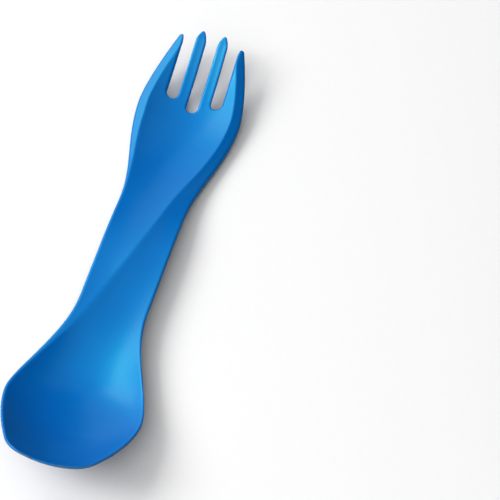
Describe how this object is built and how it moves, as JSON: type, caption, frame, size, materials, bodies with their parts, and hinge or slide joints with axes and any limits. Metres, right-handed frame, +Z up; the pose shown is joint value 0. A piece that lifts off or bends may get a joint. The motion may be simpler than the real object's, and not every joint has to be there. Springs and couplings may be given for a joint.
{
  "type": "spork",
  "caption": "One-piece moulded eating utensil with a dished spoon bowl at one end, a slim handle folded along a diagonal ridge, and a tined fork at the other end.",
  "frame": {"origin": "under the middle of the utensil, on the surface that it rests on", "axes": "+X along the utensil towards the fork's tips, +Y across it to the left when the fork points away, +Z up out of the bowl"},
  "size_m": [0.1616, 0.0418, 0.0222],
  "materials": {
    "blue_nylon": "fine satin moulded surface, saturated mid blue, coloured right through"
  },
  "bodies": {
    "root": {"spoon_bowl": "blue_nylon", "handle": "blue_nylon", "fork_palm": "blue_nylon", "outer_tine_left": "blue_nylon", "inner_tine_left": "blue_nylon", "inner_tine_right": "blue_nylon", "outer_tine_right": "blue_nylon"}
  },
  "joints": []
}
